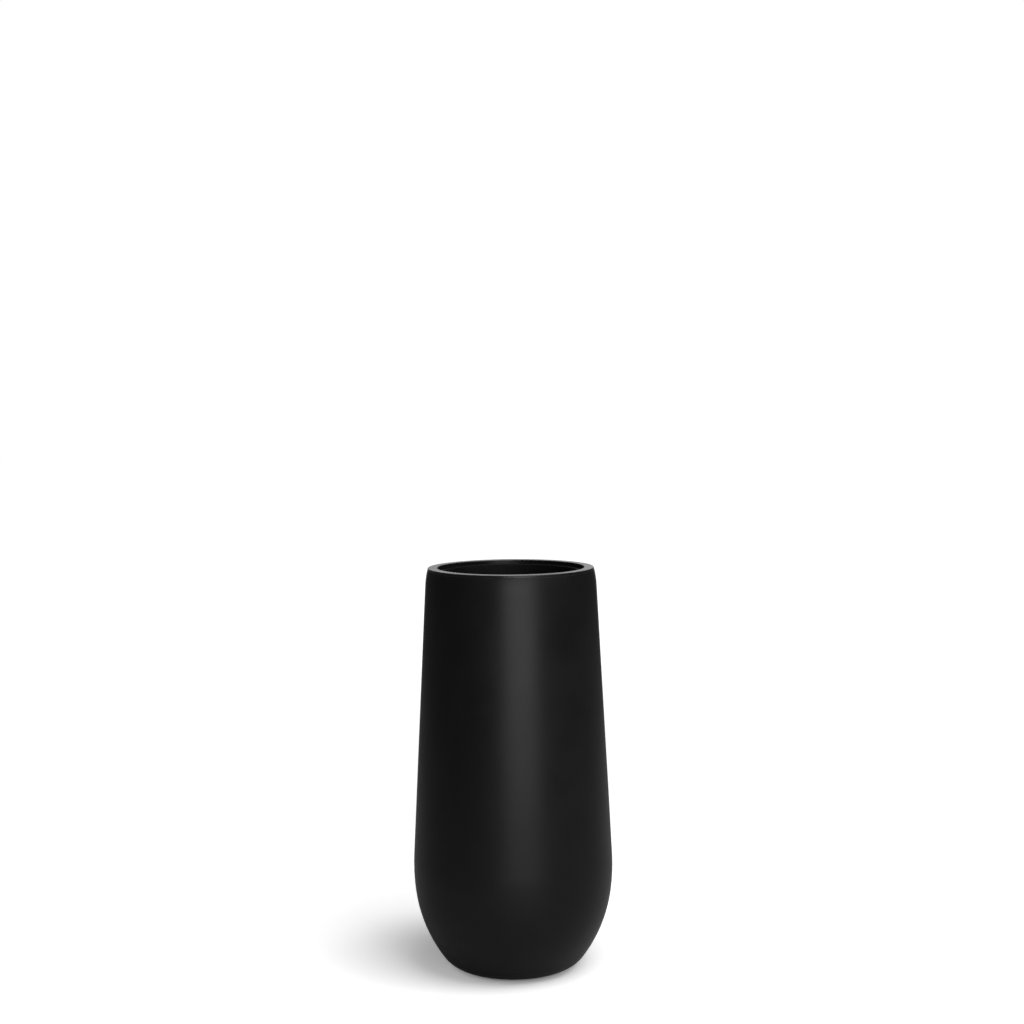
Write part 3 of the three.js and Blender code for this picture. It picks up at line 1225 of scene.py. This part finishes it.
@dataclass(frozen=True)
class FloorPaint(Finish):
    """Matt paint that is whiter, and has a light of its own, for rays that show the background. Its own light
    is held back round the planter's foot, which paints shade there.
    """

    name: str = "studio_floor"
    colour: Colour = (0.90, 0.90, 0.90)
    unseen: Colour = (0.46, 0.46, 0.46)
    # The first two steps leave painted shade round the planter's foot and its shadow; the last makes the far
    # floor white.
    backdrop_glow_and_painted_shade: tuple[Glow, ...] = (Glow(0.087, 0.132, 0.28), Glow(0.165, 0.460, 0.25), Glow(1.2, 5.0, 0.5))
    backdrop_edge: tuple[float, float] = (0.93, 0.99)

    def _sockets(self, graph: Graph) -> dict[str, object]:
        """The shader's sockets: the light of its own grows in steps away from the planter, so the floor round
        the foot is painted darker, as shade.
        """
        bearing = graph.node("ShaderNodeVectorMath", {0: graph.place()}, operation="NORMALIZE")
        away = graph.number("ShaderNodeVectorMath", {0: graph.place()}, "Value", operation="LENGTH")
        shown = graph.shown(bearing, self.backdrop_edge)
        shade = graph.noise(1.5, 3.0) * 0.04 + 0.96
        # Painted shade: with less of its own light near the planter, the floor round the foot shows darker.
        light = sum((away.ramp(glow.near, glow.far) * glow.level for glow in self.backdrop_glow_and_painted_shade), start=0.0)
        return {
            "Base Color": graph.blend(shade, BLACK, graph.blend(shown, self.unseen, self.colour)),
            "Roughness": 0.9,
            "Specular IOR Level": 0.1,
            "Emission Color": graph.blend(shown * light, BLACK, WHITE),
            "Emission Strength": 1.0,
        }


@dataclass
class Studio:
    """A plain pale floor, a surround that is white where it is seen, soft lamps and the camera.

    The floor is lit by the lamps and so keeps the planter's shadow. Near the planter its own light is held
    back, which paints further shade round the foot. Away from the planter it takes on a light of its own for
    rays that show it, until it is as white as the surround. The white background stands behind the planter,
    towards +Y, and mirrored rays show it there. On the camera's side they show a dimmer room.
    """

    paint: FloorPaint = FloorPaint()
    floor_radius: float = 30.0
    floor_facets: int = 96
    surround: Colour = (0.085, 0.085, 0.085)
    camera_distance: float = 3.3
    camera_side: float = 0.0034
    camera_height: float = 1.133
    camera_dip: float = 3.884
    camera_roll: float = -0.485
    focal_length: float = 58.858
    lamps: tuple[Softbox, ...] = (
        Softbox("key", bearing=48.0, elevation=61.0, distance=4.0, width=3.4, tall=3.2, watts=182.0),
        Softbox("front", bearing=11.0, elevation=8.0, distance=3.8, width=2.6, tall=1.9, watts=78.0,
                aim=(0.0, 0.0, 0.5)),
    )

    def build(self) -> None:
        """Sets up the whole studio."""
        self._floor()
        self._world()
        for lamp in self.lamps:
            lamp.hang()
        self._camera()
        bpy.context.scene.view_settings.view_transform = "Standard"

    def _floor(self) -> None:
        """A round floor: a fan of triangles about its centre."""
        count = self.floor_facets
        here = np.arange(count)
        angle = here * (TURN / count)
        circle = self.floor_radius * np.stack([np.cos(angle), np.sin(angle), 0 * angle], axis=-1)
        fan = np.stack([np.full(count, count), here, (here + 1) % count], axis=-1)
        surface = Surface(np.vstack([circle, np.zeros((1, 3))]), np.zeros((0, 4), int), fan)
        mesh_object("floor", surface, self.paint.material())

    def _world(self) -> None:
        """White for rays that show the background, and dim for the others."""
        world = bpy.data.worlds.new("surround")
        bpy.context.scene.world = world
        world.use_nodes = True
        graph = Graph(world.node_tree)
        direction = graph.node("ShaderNodeTexCoord").outputs["Generated"]
        colour = graph.blend(graph.shown(direction, self.paint.backdrop_edge), self.surround, WHITE)
        background = graph.node("ShaderNodeBackground", {"Color": colour})
        graph.node("ShaderNodeOutputWorld", {"Surface": background})

    def _camera(self) -> None:
        """A view from in front, dipped and rolled a little, as the photograph was taken."""
        camera = bpy.data.objects.new("camera", bpy.data.cameras.new("camera"))
        camera.data.lens = self.focal_length
        dip = Euler((math.radians(90.0 - self.camera_dip), 0.0, 0.0)).to_matrix()
        roll = Euler((0.0, 0.0, math.radians(self.camera_roll))).to_matrix()
        camera.rotation_euler = (dip @ roll).to_euler()
        camera.location = (self.camera_side, -self.camera_distance, self.camera_height)
        bpy.context.scene.collection.objects.link(camera)
        bpy.context.scene.camera = camera


def main() -> None:
    """Builds the planter and its studio."""
    logging.basicConfig(level=logging.INFO, format="%(name)s %(message)s")
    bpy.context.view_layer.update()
    gelcoat = Gelcoat("satin_gelcoat").material()
    rim_gelcoat = Gelcoat("rim_gelcoat", roughness=0.28, specular=0.32, rubbing=0.8, dust=0.12).material()
    laminate = Laminate().material()
    rubber = Rubber().material()
    insert_plastic = MouldedPlastic(
        "insert_plastic", (0.0025, 0.0025, 0.0025), (0.015, 0.015, 0.015), roughness=0.6, specular=0.1
    ).material()
    sleeve_plastic = MouldedPlastic("sleeve_plastic", (0.028, 0.029, 0.030), roughness=0.4).material()

    shell = Shell(WallCurve())
    shell.build(gelcoat, laminate)
    rim = Rim(shell)
    rim.build(rim_gelcoat)
    floor = Floor()
    floor.build_panel(laminate)
    floor.build_sleeve(sleeve_plastic)
    floor.build_bung(rubber)
    Insert(rim).build(insert_plastic)
    Feet().build(rubber)
    Studio().build()


if __name__ == "__main__":
    main()
